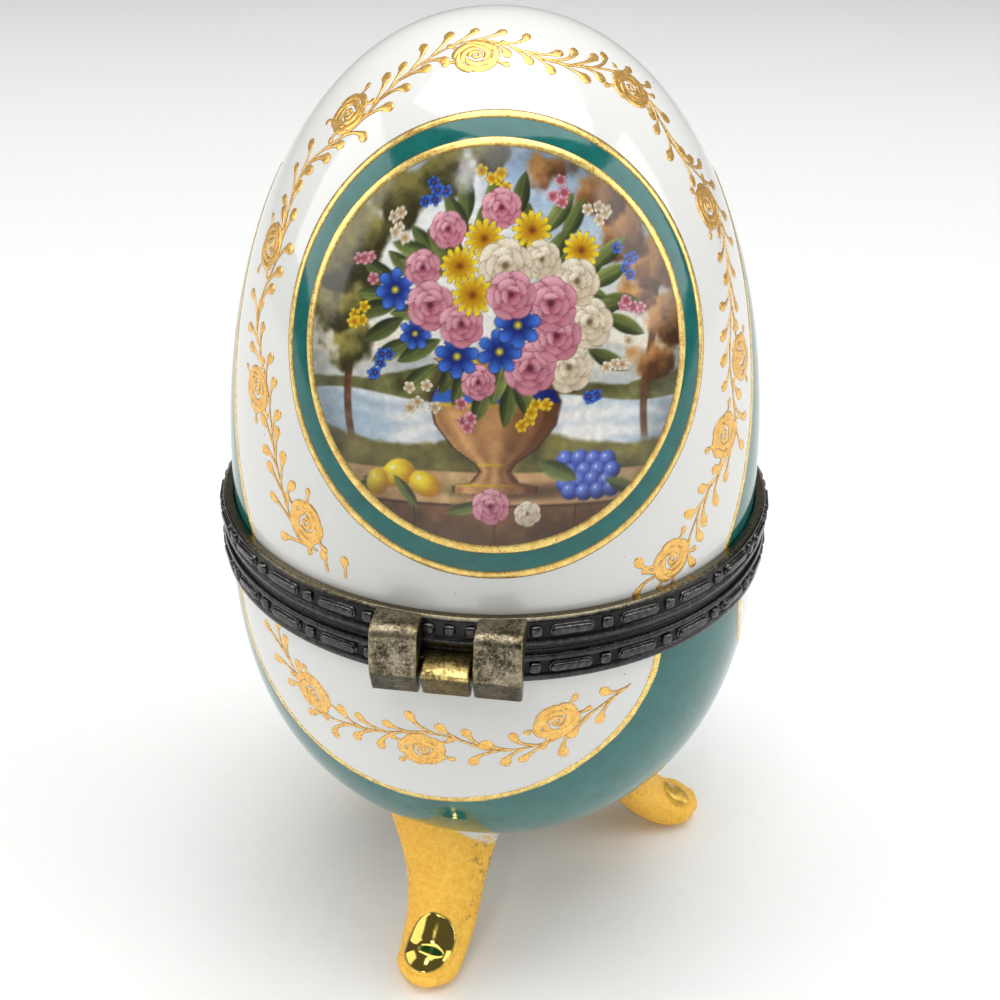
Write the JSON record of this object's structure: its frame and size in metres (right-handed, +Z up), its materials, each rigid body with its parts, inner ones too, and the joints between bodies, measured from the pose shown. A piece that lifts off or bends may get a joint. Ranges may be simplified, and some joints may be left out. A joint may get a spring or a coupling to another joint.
{
  "type": "hinged porcelain egg box",
  "caption": "Egg-shaped porcelain trinket box with a hinged lid, ornamented metal rims and a front clasp, standing on gilded feet.",
  "frame": {"origin": "on the floor under the egg's axis, at the centre of the bounding box's bottom", "axes": "+Z up along the egg's axis, +Y towards the hinge, -Y towards the clasp, +X to the viewer's right"},
  "size_m": [0.0634, 0.0694, 0.1081],
  "materials": {
    "porcelain_lid": "white glaze with a painted medallion, teal sides and gold vine",
    "porcelain_bowl": "teal glaze with a white panel and gold lines",
    "gilt": "gold lustre over porcelain, with a polished toe",
    "rim_metal": "black antique brass, glossy",
    "clasp_metal": "antique brass, speckled, with bright worn edges",
    "catch_metal": "antique brass, worn bright",
    "hinge_metal": "antique brass"
  },
  "bodies": {
    "base": {"base_bowl": "porcelain_bowl", "foot_front": "gilt", "foot_right": "gilt", "foot_left": "gilt", "base_rim": "rim_metal", "clasp_catch": "catch_metal", "hinge_base_knuckle": "hinge_metal", "hinge_pin": "hinge_metal"},
    "lid": {"lid_shell": "porcelain_lid", "lid_rim": "rim_metal", "clasp_leg_left": "clasp_metal", "clasp_leg_right": "clasp_metal", "hinge_lid_knuckle_left": "hinge_metal", "hinge_lid_knuckle_right": "hinge_metal"}
  },
  "joints": [
    {"name": "lid_hinge", "type": "hinge", "parent": "base", "child": "lid", "pos_m": [0, 0.03345, 0.05285], "axis": [-1, 0, 0], "range_deg": [0, 100]}
  ]
}
